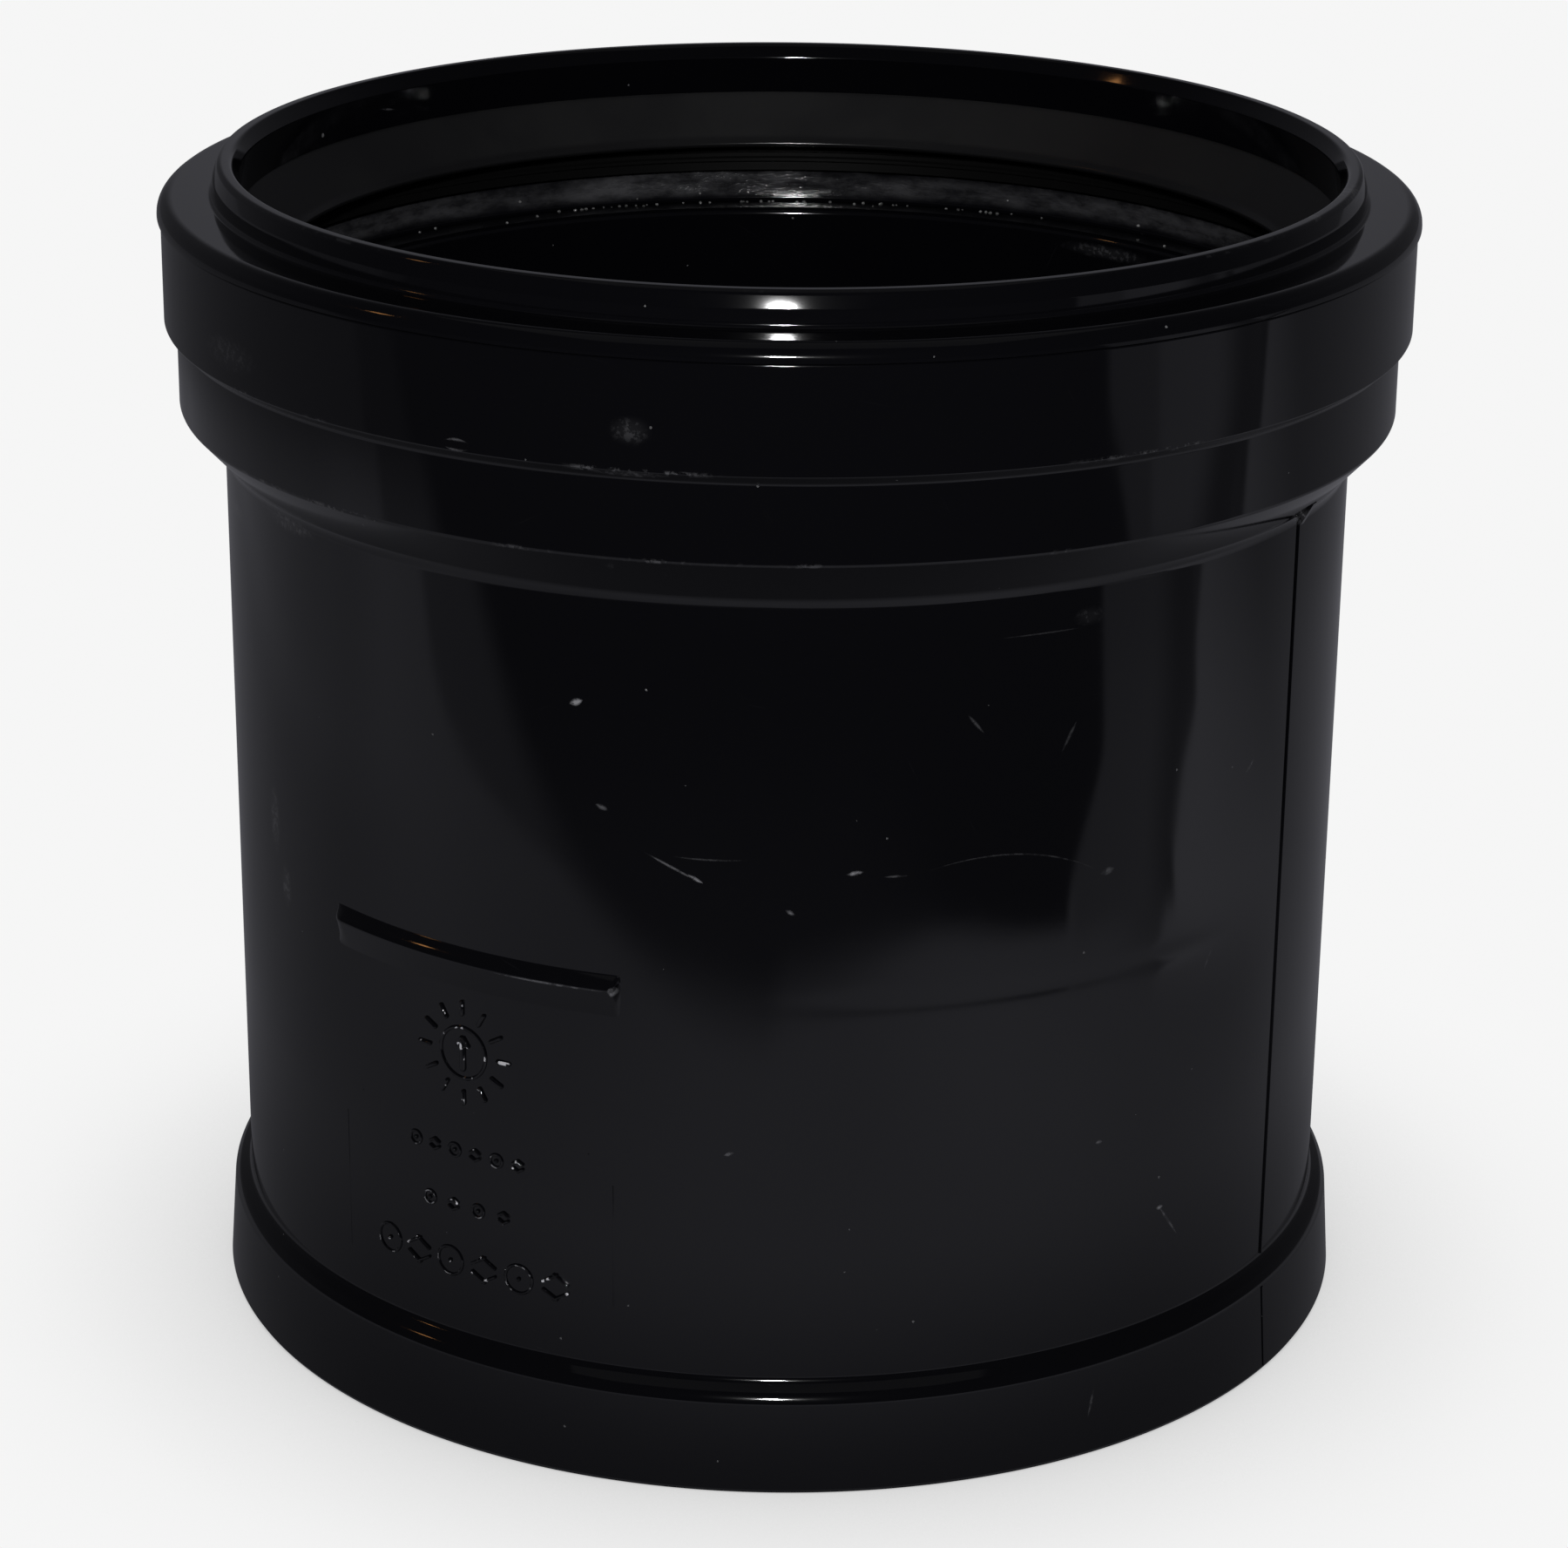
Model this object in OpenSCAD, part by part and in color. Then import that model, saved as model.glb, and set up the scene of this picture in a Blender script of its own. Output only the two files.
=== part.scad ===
// Ring-seal barrel with an open mouth: a moulded shell, a lip seal in its socket,
// a snap-in retaining cap over the seal and a plug bonded in the lower socket.
// The axis is Z, the foot stands on z = 0 and the front of the barrel faces -Y.

/* [Shell] */
// Bore of the shell, for a pipe or plug of 110 mm nominal size
bore_d = 110.4; // [90:0.1:125]
// Wall of the tube between the foot ring and the cone
wall_t = 2.8; // [2.4:0.1:3.4]
// Height of the shell, up to the rim that carries the cap
rim_z = 115.6; // [110:0.1:150]
// How much narrower the tube is at its foot, in radius
draft = 0.25; // [0:0.05:0.5]

/* [Foot ring] */
// Height of the reinforcing ring's shoulder
ring_h = 10.1; // [6:0.1:16]
// How far the ring stands out at the floor
ring_out = 2.2; // [1.2:0.1:3.5]

/* [Seal socket] */
// Depth of the seal's ledge below the rim
ledge_depth = 13.4; // [12:0.1:15]
// Depth of the cap's seat below the rim
seat_depth = 6; // [5:0.1:6.5]
// How far the lower band stands out from the tube
low_band_out = 4.5; // [4:0.1:5.5]
// Height of the upper band
high_band_h = 10.7; // [9:0.1:11.5]
// Height of the lower band
low_band_h = 8.6; // [6:0.1:10]
// Height of the cone between the tube and the lower band
cone_h = 4.8; // [3:0.1:8]

/* [Cap] */
// Height of the collar and annulus above the rim
cap_h = 5.3; // [4:0.1:8]
// Thickness of the annulus
annulus_t = 1.9; // [1.6:0.1:2.4]
// Wall of the collar round the mouth
collar_t = 2.8; // [2.4:0.1:3.4]

/* [Seal] */
// How far the lip reaches in past the bore
lip_in = 3.7; // [2:0.1:5]
// How far the lip hangs below the cap
lip_drop = 5.2; // [3:0.1:7]

/* [Plug] */
// Height of the plug's floor above the ground
plug_lift = 1.5; // [0:0.1:6]
// Thickness of the plug's floor
plug_floor = 3; // [2:0.1:5]
// Wall of the plug's skirt
plug_wall = 2.5; // [2:0.1:4]

/* [Markings] */
// Height of the upper edge of the marking rib
rib_top = 53.2; // [48:0.1:60]
// How far the marking rib stands out
rib_out = 1.1; // [0.6:0.1:2]
// Direction of the rib's middle, in degrees from the front towards +X
rib_dir = -32.5; // [-60:0.5:60]
// Length of the rib, in degrees round the tube
rib_arc = 34; // [26:0.5:44]
// Diameter of the date dial below the rib
dial_d = 10.8; // [8:0.1:12]

/* [Hidden] */
$fn = 128;

bore_r = bore_d / 2;
tube_r = bore_r + wall_t;
foot_r = tube_r - draft;
low_r = tube_r + low_band_out;
high_r = low_r + 1.25;
ledge_z = rim_z - ledge_depth;
seat_z = rim_z - seat_depth;
band_z = rim_z - high_band_h;
low_z = band_z - low_band_h;
cone_z = low_z - cone_h;

// Radii inside the seal socket, from the seal's groove out to the cap's seat
groove_r = bore_r + 4.3;
seat_r = groove_r + 2;
fit_gap = 0.4;

// Stop ridge half way up the bore, which the plug's skirt butts against
stop_low = 49.5;
stop_h = 3;
stop_r = bore_r - 2.9;

top_z = rim_z + cap_h;
annulus_z = rim_z + annulus_t;
mouth_r = bore_r + 0.5;
collar_r = mouth_r + collar_t;
collar_draft = 0.6;
skirt_r = high_r + 0.35;
spigot_in = groove_r + fit_gap / 2;
spigot_out = seat_r - fit_gap;

// Points on an arc round c, both ends included
function arc(c, r, from, to, n = 5) =
    [for (i = [0 : n]) let (a = from + (to - from) * i / n) [c[0] + r * cos(a), c[1] + r * sin(a)]];

// Turns the children from the front of the barrel to a direction on its side
module on_side(dir, z) {
    rotate([0, 0, dir]) translate([0, -tube_r, z]) rotate([90, 0, 0]) children();
}

module shell_profile() {
    edge = 0.8;
    snap_z = rim_z - 3.6;
    polygon(concat(
        [[bore_r + edge, 0], [bore_r, 2 * edge], [bore_r, stop_low], [stop_r, stop_low],
         [stop_r, stop_low + stop_h], [bore_r, stop_low + stop_h + 1]],
        arc([bore_r + edge, ledge_z - edge], edge, 180, 90),
        [[groove_r, ledge_z], [groove_r, seat_z], [seat_r, seat_z], [seat_r, snap_z],
         [seat_r + 0.4, snap_z + 0.4], [seat_r + 0.4, snap_z + 1.6], [seat_r, snap_z + 2],
         [seat_r, rim_z], [high_r, rim_z], [high_r, band_z + 0.4], [high_r - 0.4, band_z],
         [low_r, band_z - edge], [low_r, low_z]],
        [[tube_r, cone_z], [foot_r, ring_h + 1.1]],
        arc([foot_r + ring_out * 0.7, ring_h - edge], edge, 90, 10),
        [[foot_r + ring_out + 0.2, edge / 2], [foot_r + ring_out, 0]]));
}

// Short rib part of the way round: an upper face that slopes out, and a long slope below it
module marking_rib() {
    root = 1;
    crest_z = rib_top - 1.3;
    rotate([0, 0, rib_dir - 90 - rib_arc / 2])
        rotate_extrude(angle = rib_arc)
            polygon(concat(
                [[tube_r - root, crest_z - 3.4], [tube_r - 0.1, crest_z - 2.6]],
                arc([tube_r + rib_out - 0.5, crest_z + 0.1], 0.5, -25, 50, 3),
                [[tube_r - root, rib_top + 0.6]]));
}

// Plain date dial: a low ring with one tick for each month, and no figures
module date_dial() {
    proud = 0.25;
    inner_r = dial_d / 4;
    sunk = 1.5;
    height = proud + sunk;
    on_side(rib_dir + 1, rib_top - 11.2) {
        translate([0, 0, -sunk]) difference() {
            cylinder(r = inner_r, h = height, $fn = 48);
            translate([0, 0, -1]) cylinder(r = inner_r - 0.4, h = height + 2, $fn = 48);
        }
        for (month = [0 : 11])
            rotate(month * 30) translate([dial_d * 0.36, -0.15, -sunk])
                cube([dial_d * 0.14, 0.3, height]);
    }
}

// Plain raised bars where a maker would put lettering
module blank_marks() {
    for (row = [0 : 2])
        for (side = [-1, 1])
            on_side(rib_dir + side * (5 + row), rib_top - 21.7 - row * 6)
                translate([-2.5 - row, -0.7, -1])
                    cube([5 + 2 * row, 1.4, 1.25]);
}

module barrel_body() {
    color("#1b1b1d") union() {
        rotate_extrude() shell_profile();
        marking_rib();
        date_dial();
        blank_marks();
    }
}

// Lip seal: a flange clamped under the cap's spigot, a heel in the groove, a sloping lip
module seal_ring() {
    heel_out = groove_r - 0.1;
    heel_in = groove_r - 2.1;
    heel_z = ledge_z + 4;
    top = rim_z - 0.1;
    tip_r = bore_r - lip_in;
    tip_z = rim_z - lip_drop;
    color("#4a4b4c") rotate_extrude() polygon(concat(
        [[heel_in, heel_z], [heel_out, heel_z], [heel_out, seat_z], [seat_r - 0.2, seat_z],
         [seat_r - 0.2, seat_z + 0.8], [heel_out, seat_z + 0.8], [heel_out, top],
         [bore_r + 0.8, top]],
        arc([tip_r + 0.6, tip_z], 0.6, 135, 290),
        [[heel_in, rim_z - 2.4]]));
}

// Cap: upright collar round the mouth, flat annulus, rounded skirt, snap-in spigot below
module retaining_cap() {
    round_r = 1.7;
    spigot_z = seat_z + 0.9;
    bead_z = rim_z - 2.6;
    skirt_z = rim_z + 0.2;
    color("#1b1b1d") rotate_extrude() polygon(concat(
        [[mouth_r, rim_z], [mouth_r, top_z - 1.4], [mouth_r + 0.7, top_z - 0.3],
         [mouth_r + 1.1, top_z]],
        arc([collar_r - collar_draft - 0.8, top_z - 0.8], 0.8, 90, 12),
        [[collar_r, annulus_z + 0.5], [collar_r + 0.5, annulus_z]],
        arc([skirt_r - round_r, annulus_z - round_r], round_r, 90, 0),
        [[skirt_r, skirt_z], [skirt_r - 0.2, rim_z], [spigot_out, rim_z],
         [spigot_out, bead_z + 0.6], [spigot_out + 0.2, bead_z + 0.3],
         [spigot_out + 0.2, bead_z - 0.3], [spigot_out, bead_z - 0.6],
         [spigot_out, spigot_z + 0.5], [spigot_out - 0.4, spigot_z], [spigot_in, spigot_z],
         [spigot_in, rim_z]]));
}

// Plug: a shallow dish with its floor at the foot and its skirt up to the stop ridge
module base_plug() {
    out_r = bore_r - 0.1;
    in_r = out_r - plug_wall;
    floor_z = plug_lift + plug_floor;
    soft = 2;
    color("#232325") rotate_extrude() polygon(concat(
        [[0, plug_lift], [out_r - 0.8, plug_lift], [out_r, plug_lift + 0.8],
         [out_r, stop_low], [in_r, stop_low]],
        arc([in_r - soft, floor_z + soft], soft, 0, -90),
        [[0, floor_z]]));
}

barrel_body();
seal_ring();
retaining_cap();
base_plug();
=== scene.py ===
"""Ring-seal tumbler barrel: a moulded shell, a lip seal, a snap-in cap, a bonded base plug
and a little grease in the seal's groove, on a pale studio floor."""

import random
from math import cos, hypot, pi, radians, sin, sqrt
from types import SimpleNamespace

import bmesh
import bpy
from bpy.props import FloatProperty, FloatVectorProperty, PointerProperty
from mathutils import Matrix, Vector


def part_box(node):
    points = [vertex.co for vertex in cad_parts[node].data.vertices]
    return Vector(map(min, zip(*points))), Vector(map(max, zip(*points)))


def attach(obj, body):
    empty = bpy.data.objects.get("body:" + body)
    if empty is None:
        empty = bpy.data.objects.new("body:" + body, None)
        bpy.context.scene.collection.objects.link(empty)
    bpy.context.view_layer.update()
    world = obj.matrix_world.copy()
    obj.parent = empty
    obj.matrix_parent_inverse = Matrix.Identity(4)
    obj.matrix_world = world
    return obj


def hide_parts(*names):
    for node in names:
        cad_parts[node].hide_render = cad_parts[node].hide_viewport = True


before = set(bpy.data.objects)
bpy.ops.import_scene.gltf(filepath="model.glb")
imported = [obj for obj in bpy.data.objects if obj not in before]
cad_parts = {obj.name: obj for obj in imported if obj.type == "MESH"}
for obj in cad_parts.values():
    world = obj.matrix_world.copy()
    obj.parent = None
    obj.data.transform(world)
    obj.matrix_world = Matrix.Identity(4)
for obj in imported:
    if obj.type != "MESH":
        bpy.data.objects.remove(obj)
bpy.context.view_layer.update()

bl_info = {
    "name": "Tumbler Barrel",
    "version": (1, 0, 0),
    "blender": (4, 5, 0),
    "location": "View3D > Sidebar > Barrel",
    "description": "Models a ring-seal tumbler barrel round its design frame",
    "category": "Add Mesh",
}

MM = 0.001
TO_MM = 1 / MM
WELD = 0.004 * MM
MM_PER_DEGREE = 58 * pi / 180
NEAR = 0.02 * MM
SEGMENTS = 384
SMOOTH_BELOW = radians(32)


# ------------------------------------------------------------------ sizes and colours


def length(name, description, millimetres):
    """A length property that is given in millimetres and kept in metres."""
    return FloatProperty(
        name=name, description=description, default=millimetres * MM, unit="LENGTH", precision=4)


def angle(name, description, degrees_from_front):
    """An angle property that is given in degrees."""
    return FloatProperty(
        name=name, description=description, default=radians(degrees_from_front), subtype="ANGLE")


def colour(name, description, grey, blue=None):
    """A colour property: a grey with its own blue."""
    value = (grey, grey, grey if blue is None else blue)
    return FloatVectorProperty(
        name=name, description=description, default=value, subtype="COLOR", size=3, min=0, max=1)


class BARREL_PG_shell(bpy.types.PropertyGroup):
    rim_z: length("Rim height", "Height of the rim that carries the cap",
                  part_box("barrel_body")[1].z / MM)
    bore_r: length("Bore", "Radius of the bore", 55.2)
    wall: length("Wall", "Wall of the tube", 2.8)
    draft: length("Draft", "How much narrower the tube is at its foot", 0.25)
    ring_h: length("Ring height", "Height of the foot ring's shoulder", 10.1)
    ring_out: length("Ring width", "How far the foot ring stands out at the floor", 2.2)
    ledge_depth: length("Ledge depth", "Depth of the seal's ledge below the rim", 13.4)
    seat_depth: length("Seat depth", "Depth of the cap's seat below the rim", 6.0)
    low_band_out: length("Lower band", "How far the lower band stands out", 4.5)
    high_band_out: length("Upper band", "How far the upper band stands out", 5.75)
    high_band_h: length("Upper band height", "Height of the upper band", 10.7)
    low_band_h: length("Lower band height", "Height of the lower band", 8.6)
    cone_h: length("Cone height", "Height of the cone under the lower band", 4.8)


class BARREL_PG_cap(bpy.types.PropertyGroup):
    top_z: length("Top", "Height of the collar's top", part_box("retaining_cap")[1].z / MM)
    skirt_r: length("Skirt", "Radius of the skirt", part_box("retaining_cap")[1].x / MM)
    annulus: length("Annulus", "Thickness of the annulus", 1.9)
    collar: length("Collar", "Wall of the collar round the mouth", 2.8)
    collar_draft: length("Collar draft", "How much the collar narrows to its top", 0.6)
    lip_in: length("Lip reach", "How far the seal's lip reaches in past the bore", 3.7)
    lip_drop: length("Lip drop", "How far the seal's lip hangs below the cap", 5.2)
    plug_lift: length("Plug lift", "Height of the plug's floor above the ground", 1.5)
    plug_floor: length("Plug floor", "Thickness of the plug's floor", 3.0)
    plug_wall: length("Plug wall", "Wall of the plug's skirt", 2.5)


class BARREL_PG_marks(bpy.types.PropertyGroup):
    rib_top: length("Rib top", "Height of the marking rib's upper edge", 53.2)
    rib_out: length("Rib", "How far the marking rib stands out", 1.1)
    rib_dir: angle("Rib direction", "Direction of the rib from the front", -32.5)
    rib_arc: angle("Rib arc", "Length of the rib round the tube", 34.0)
    dial_r: length("Dial", "Outer radius of the date dial", 5.4)
    parting_dir: angle("Parting line", "Direction of the mould's parting line", 60.0)


class BARREL_PG_finish(bpy.types.PropertyGroup):
    plastic: colour("Plastic", "Moulded black plastic", 0.0018, 0.0025)
    plug: colour("Plug", "Plastic of the base plug", 0.0030, 0.0035)
    rubber: colour("Rubber", "Rubber of the lip seal", 0.0070, 0.0078)
    # Also the colour of the painted highlight along the rib's crest.
    scuff_and_highlight: colour("Scuff", "Scratched and chipped plastic", 0.22, 0.235)
    dust: colour("Dust", "Dust and dried splashes", 0.30, 0.31)
    # Colour of the painted glints on the tips of the raised marks.
    painted_glint: colour("Painted glint", "Tips of the raised marks, rubbed bright", 0.55, 0.58)
    grease: colour("Grease", "Seal grease", 0.050, 0.054)
    floor: colour("Floor", "Studio floor", 0.92, 0.92)


def plan():
    """Every radius and height that the pieces share, worked out from the properties."""
    shell = bpy.context.scene.barrel_shell
    cap = bpy.context.scene.barrel_cap
    tube_r = shell.bore_r + shell.wall
    band_z = shell.rim_z - shell.high_band_h
    low_z = band_z - shell.low_band_h
    return SimpleNamespace(
        bore_r=shell.bore_r,
        tube_r=tube_r,
        foot_r=tube_r - shell.draft,
        low_r=tube_r + shell.low_band_out,
        high_r=tube_r + shell.high_band_out,
        rim_z=shell.rim_z,
        ledge_z=shell.rim_z - shell.ledge_depth,
        seat_z=shell.rim_z - shell.seat_depth,
        band_z=band_z,
        low_z=low_z,
        cone_z=low_z - shell.cone_h,
        ring_z=shell.ring_h,
        fillet_z=shell.ring_h + 1.1 * MM,
        groove_r=shell.bore_r + 4.3 * MM,
        seat_r=shell.bore_r + 6.3 * MM,
        stop_z=49.5 * MM,
        stop_h=3 * MM,
        mouth_r=shell.bore_r + 0.5 * MM,
        collar_r=shell.bore_r + 0.5 * MM + cap.collar,
        annulus_z=shell.rim_z + cap.annulus,
    )


# ------------------------------------------------------------------ modelling helpers


def start_clean():
    """Leaves edit mode and deselects everything."""
    if bpy.context.mode != "OBJECT":
        bpy.ops.object.mode_set(mode="OBJECT")
    bpy.ops.object.select_all(action="DESELECT")


def pick(piece):
    """Makes one object the selected and active one."""
    start_clean()
    piece.select_set(True)
    bpy.context.view_layer.objects.active = piece


def turn(name, outline, closed=True):
    """Extrudes a circle ring by ring along an outline of (radius, height) points."""
    start_clean()
    radius, height = outline[0]
    bpy.ops.mesh.primitive_circle_add(vertices=SEGMENTS, radius=radius, location=(0, 0, height))
    piece = bpy.context.object
    piece.name = piece.data.name = name
    bpy.ops.object.transform_apply(location=True, rotation=False, scale=False)
    bpy.ops.object.mode_set(mode="EDIT")
    bpy.ops.mesh.select_all(action="SELECT")
    for next_radius, next_height in outline[1:] + (outline[:1] if closed else []):
        bpy.ops.mesh.extrude_edges_move(
            TRANSFORM_OT_translate={"value": (0, 0, next_height - height)})
        scale = next_radius / radius
        bpy.ops.transform.resize(value=(scale, scale, 1), center_override=(0, 0, next_height))
        radius, height = next_radius, next_height
    if not closed:
        close_disc(piece, *outline[0])
        close_disc(piece, *outline[-1])
    bpy.ops.mesh.select_all(action="SELECT")
    bpy.ops.mesh.remove_doubles(threshold=WELD)
    bpy.ops.mesh.normals_make_consistent(inside=False)
    bpy.ops.object.mode_set(mode="OBJECT")
    return piece


def at_corner(vertex, corner):
    """Whether a vertex lies on the ring at a (radius, height) corner."""
    radius, height = corner
    off_radius = abs(hypot(vertex.co.x, vertex.co.y) - radius)
    return off_radius < NEAR and abs(vertex.co.z - height) < NEAR


def select_rings(piece, corners):
    """Selects the rings of edges at the given corners, in edit mode."""
    bpy.ops.mesh.select_mode(type="EDGE")
    bpy.ops.mesh.select_all(action="DESELECT")
    mesh = bmesh.from_edit_mesh(piece.data)
    for edge in mesh.edges:
        first, second = edge.verts
        edge.select = any(at_corner(first, c) and at_corner(second, c) for c in corners)
    bmesh.update_edit_mesh(piece.data)


def close_disc(piece, radius, height):
    """Fills the open ring at a corner with a fan of faces, in edit mode."""
    select_rings(piece, [(radius, height)])
    bpy.ops.mesh.edge_face_add()
    bpy.ops.mesh.select_mode(type="FACE")
    bpy.ops.mesh.poke()


def round_rings(piece, corners, width, steps=5):
    """Bevels the rings at the given corners to a round edge."""
    pick(piece)
    bpy.ops.object.mode_set(mode="EDIT")
    select_rings(piece, corners)
    bpy.ops.mesh.bevel(
        offset=width, offset_type="OFFSET", segments=steps, affect="EDGES", clamp_overlap=False)
    bpy.ops.object.mode_set(mode="OBJECT")


def smooth(piece):
    """Smooth shading with sharp creases, and flat faces kept flat beside their round edges."""
    pick(piece)
    bpy.ops.object.shade_smooth_by_angle(angle=SMOOTH_BELOW)
    even = piece.modifiers.new("Even", "WEIGHTED_NORMAL")
    even.keep_sharp = True
    even.weight = 100
    bpy.ops.object.modifier_apply(modifier=even.name)


def join(pieces, name):
    """Joins several objects into the first one."""
    pick(pieces[0])
    for piece in pieces[1:]:
        piece.select_set(True)
    bpy.ops.object.join()
    pieces[0].name = pieces[0].data.name = name
    return pieces[0]


def place(piece, body, slot, *nodes):
    """Hands a finished piece to the frame: its body and the nodes it replaces; the slot is not used.
    """
    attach(piece, body)
    if nodes:
        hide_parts(*nodes)


# ------------------------------------------------------------------ marks on the tube


def tube_radius(height):
    """Radius of the outer wall at a height, along the drafted tube or the foot ring."""
    at = plan()
    if height < at.ring_z:
        return at.foot_r + 2.45 * MM - 0.7 * MM * height / at.ring_z
    share = (height - at.fillet_z) / (at.cone_z - at.fillet_z)
    return at.foot_r + (at.tube_r - at.foot_r) * min(max(share, 0), 1)


def wrap(piece, direction):
    """Bends a flat layout round the tube: x goes along the wall, y up and z outwards."""
    middle = plan().tube_r
    for vertex in piece.data.vertices:
        around = direction + vertex.co.x / middle
        radius = tube_radius(vertex.co.y) + vertex.co.z
        vertex.co = (radius * sin(around), -radius * cos(around), vertex.co.y)


def new_bar():
    """One small ball, 1 mm across, that every raised mark is drawn out of."""
    start_clean()
    bpy.ops.mesh.primitive_uv_sphere_add(segments=16, ring_count=8, radius=0.5 * MM)
    return bpy.context.object


def copy_bar(bar, x, y, long, wide, tilt, proud=0.26):
    """A round-ended bar, laid out flat; sizes in millimetres, tilt in degrees from x."""
    pick(bar)
    bpy.ops.object.duplicate()
    mark = bpy.context.object
    stretch = max(0, long - wide) / 2 * MM
    for vertex in mark.data.vertices:
        end = stretch if vertex.co.x > 0 else -stretch
        vertex.co = (vertex.co.x * wide + end, vertex.co.y * wide, vertex.co.z * 2 * proud)
    mark.rotation_euler = (0, 0, radians(tilt))
    mark.location = (x * MM, y * MM, 0)
    bpy.ops.object.transform_apply(location=True, rotation=True, scale=True)
    return mark


def flat_ring(x, y, radius, thick):
    """A raised ring, laid out flat; sizes in millimetres."""
    start_clean()
    bpy.ops.mesh.primitive_torus_add(
        major_radius=radius * MM, minor_radius=thick * MM, major_segments=48, minor_segments=10,
        location=(x * MM, y * MM, 0))
    bpy.ops.object.transform_apply(location=True, rotation=False, scale=False)
    return bpy.context.object


def date_dial(bar):
    """A plain date dial: a ring, a pointer and one tick for each month."""
    marks = bpy.context.scene.barrel_marks
    centre_y = marks.rib_top / MM - 11.2
    outer = marks.dial_r / MM
    parts = [flat_ring(0, centre_y, outer * 0.5, 0.2)]
    parts.append(copy_bar(bar, 0, centre_y - 0.2, 3.6, 0.7, 90, 0.34))
    parts.append(copy_bar(bar, -0.4, centre_y + 1.2, 1.4, 0.45, 55, 0.3))
    parts.append(copy_bar(bar, 0.4, centre_y + 1.2, 1.4, 0.45, 125, 0.3))
    for month in range(12):
        turned = month * 30
        reach = outer * (0.84 if month % 3 else 0.88)
        parts.append(copy_bar(
            bar, reach * cos(radians(turned)), centre_y + reach * sin(radians(turned)),
            outer * 0.32, 0.5, turned, 0.32))
    return parts


def blank_rows(bar):
    """Rows of rings and diamonds, a plain ornament where a maker would put lettering."""
    marks = bpy.context.scene.barrel_marks
    parts = []
    rows = ((21.9, 6, 2.5, 1.9), (27.9, 4, 3.0, 1.9), (34.2, 6, 4.1, 4.2))
    for drop, count, pitch, tall in rows:
        y = marks.rib_top / MM - drop
        for index in range(count):
            x = (index - (count - 1) / 2) * pitch
            if index % 2:
                for quarter in (45, 135, 225, 315):
                    aside = 0.2 * tall * cos(radians(quarter))
                    above = 0.3 * tall * sin(radians(quarter))
                    slant = quarter + (104 if quarter in (45, 225) else 76)
                    parts.append(copy_bar(bar, x + aside, y + above, 0.5 * tall, 0.38, slant, 0.3))
            else:
                parts.append(flat_ring(x, y, 0.36 * tall, 0.17))
                parts.append(copy_bar(bar, x, y, 0.5, 0.5, 0, 0.3))
    return parts


def insert_outline(bar):
    """The faint outline that the mould's marking insert leaves below the dial."""
    return [
        copy_bar(bar, 0, 34.0, 28.0, 0.16, 0, 0.04),
        copy_bar(bar, -16.6, 23.5, 15.0, 0.16, 90, 0.04),
        copy_bar(bar, 16.4, 24.5, 13.0, 0.16, 90, 0.04),
    ]


def marking_rib():
    """The short rib: a round upper face, a long fall below it, and one round and one square end."""
    marks = bpy.context.scene.barrel_marks
    long = marks.rib_arc * plan().tube_r
    rise, fall = 1.3 * MM, 3.1 * MM
    nose, square, margin = 1.8 * MM, 0.35 * MM, 0.4 * MM
    sink = 0.03 * MM
    crest = marks.rib_top - rise
    low, high = crest - fall - margin, marks.rib_top + margin
    start_clean()
    bpy.ops.mesh.primitive_grid_add(x_subdivisions=220, y_subdivisions=60, size=1)
    rib = bpy.context.object
    for vertex in rib.data.vertices:
        x = vertex.co.x * (long + 2 * margin)
        y = low + (vertex.co.y + 0.5) * (high - low)
        upper = max(0, 1 - max(0, (y - crest) / rise) ** 1.7)
        lower = 1 - min(1, max(0, (crest - y) / fall))
        from_left = min(1, max(0, (x + long / 2) / nose))
        left = sqrt(1 - (1 - from_left) ** 2)
        right = min(1, max(0, (long / 2 - x) / square))
        vertex.co = (x, y, marks.rib_out * upper * lower * left * right - sink)
    bpy.ops.object.mode_set(mode="EDIT")
    bpy.ops.mesh.select_all(action="SELECT")
    bpy.ops.mesh.extrude_region_move(TRANSFORM_OT_translate={"value": (0, 0, -0.8 * MM)})
    bpy.ops.mesh.select_all(action="SELECT")
    bpy.ops.mesh.normals_make_consistent(inside=False)
    bpy.ops.object.mode_set(mode="OBJECT")
    return rib


def parting_ridges():
    """The mould's parting line: a thin sharp ridge on both sides of the tube and the foot ring."""
    at = plan()
    marks = bpy.context.scene.barrel_marks
    ridges = []
    tube = (at.fillet_z / MM + 0.3, at.cone_z / MM - 0.3, 0.18, marks.parting_dir)
    ring = (0.5, at.ring_z / MM - 0.7, 0.12, marks.parting_dir - radians(3))
    for low, high, proud, direction in (tube, ring):
        for side in (0, pi):
            start_clean()
            bpy.ops.mesh.primitive_cube_add(size=1 * MM)
            ridge = bpy.context.object
            ridge.scale = (0.26, high - low, 2 * proud)
            ridge.location = (0, (low + high) / 2 * MM, 0)
            bpy.ops.object.transform_apply(location=True, rotation=False, scale=True)
            wrap(ridge, direction + side)
            ridges.append(ridge)
    return ridges


def gusset():
    """The small three-sided web under the cone, at the top of the parting line."""
    at = plan()
    reach, drop, thick = 1.35 * MM, 1.0 * MM, 0.8 * MM
    start_clean()
    bpy.ops.mesh.primitive_cube_add(size=1)
    web = bpy.context.object
    for vertex in web.data.vertices:
        outer, upper = vertex.co.z > 0, vertex.co.y > 0
        height = at.cone_z + (reach if upper else -drop)
        vertex.co = (vertex.co.x * thick, height, reach if outer and upper else 0.05 * MM)
        if not outer:
            vertex.co.z = -0.4 * MM
    wrap(web, bpy.context.scene.barrel_marks.parting_dir + radians(0.7))
    return web


# ------------------------------------------------------------------ pieces


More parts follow.
